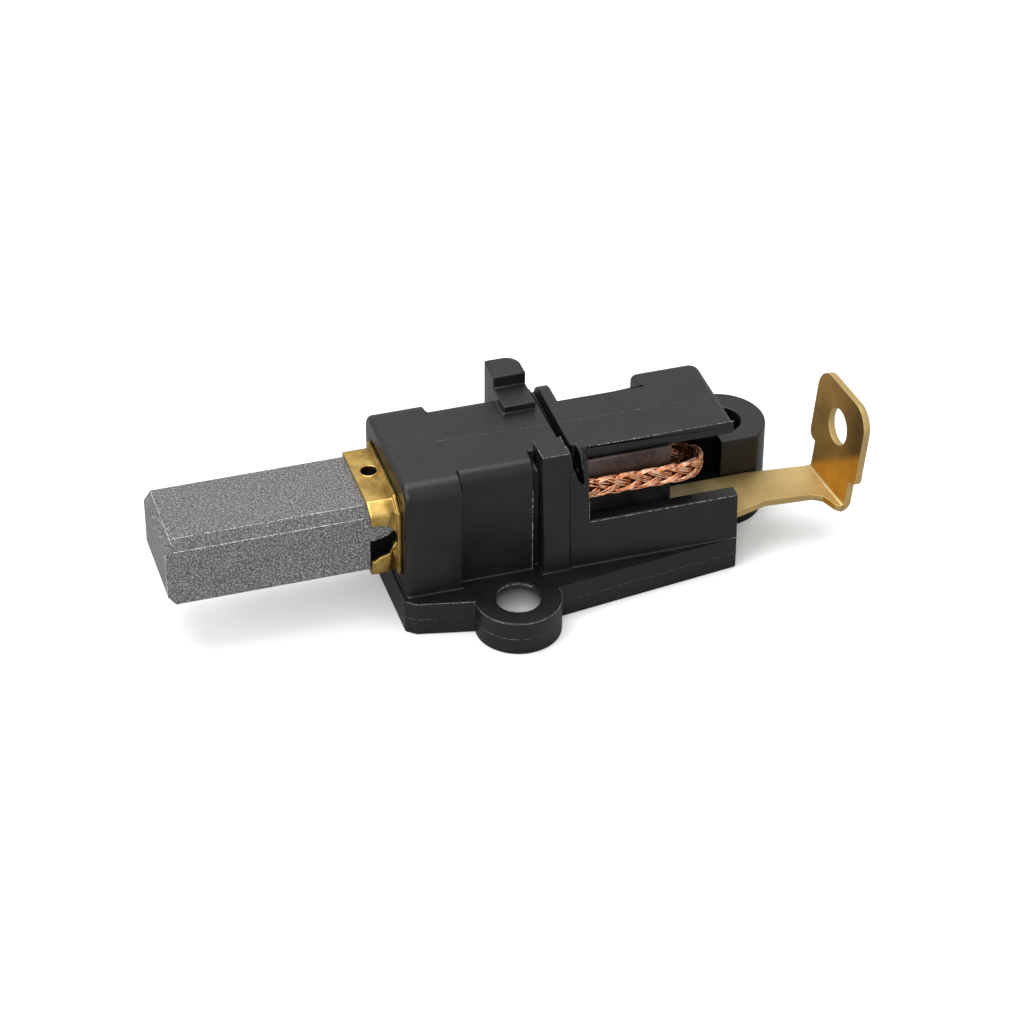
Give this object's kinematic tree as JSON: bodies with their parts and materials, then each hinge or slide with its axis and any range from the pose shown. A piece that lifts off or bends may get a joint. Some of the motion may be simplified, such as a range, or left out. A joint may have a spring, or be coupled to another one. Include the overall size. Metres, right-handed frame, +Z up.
{
  "type": "carbon brush with holder",
  "caption": "Motor carbon brush in a brass guide tube, held by a black plastic housing with screw ears, a copper shunt braid and an upright terminal tab.",
  "frame": {"origin": "on the housing's flat underside, on its parting plane, under the posts in the middle of the housing", "axes": "+Z up out of the seat, +X along the brush towards the terminal tab, the carbon points to -X"},
  "size_m": [0.0793, 0.0271, 0.0209],
  "materials": {
    "housing": "satin",
    "brass": "satin",
    "carbon": "matte",
    "copper": "satin",
    "spring_steel": "satin"
  },
  "bodies": {
    "holder": {"housing": "housing", "brush_tube": "brass", "terminal": "brass", "brush_spring": "spring_steel", "shunt_braid": "copper"},
    "brush": {"carbon_brush": "carbon", "shunt_plug": "copper"}
  },
  "joints": [
    {"name": "brush_slide", "type": "slide", "parent": "holder", "child": "brush", "axis": [1, 0, 0], "range_m": [0, 0.014], "stiffness_N_per_m": 150, "deforming": ["brush_spring", "shunt_braid"]}
  ]
}
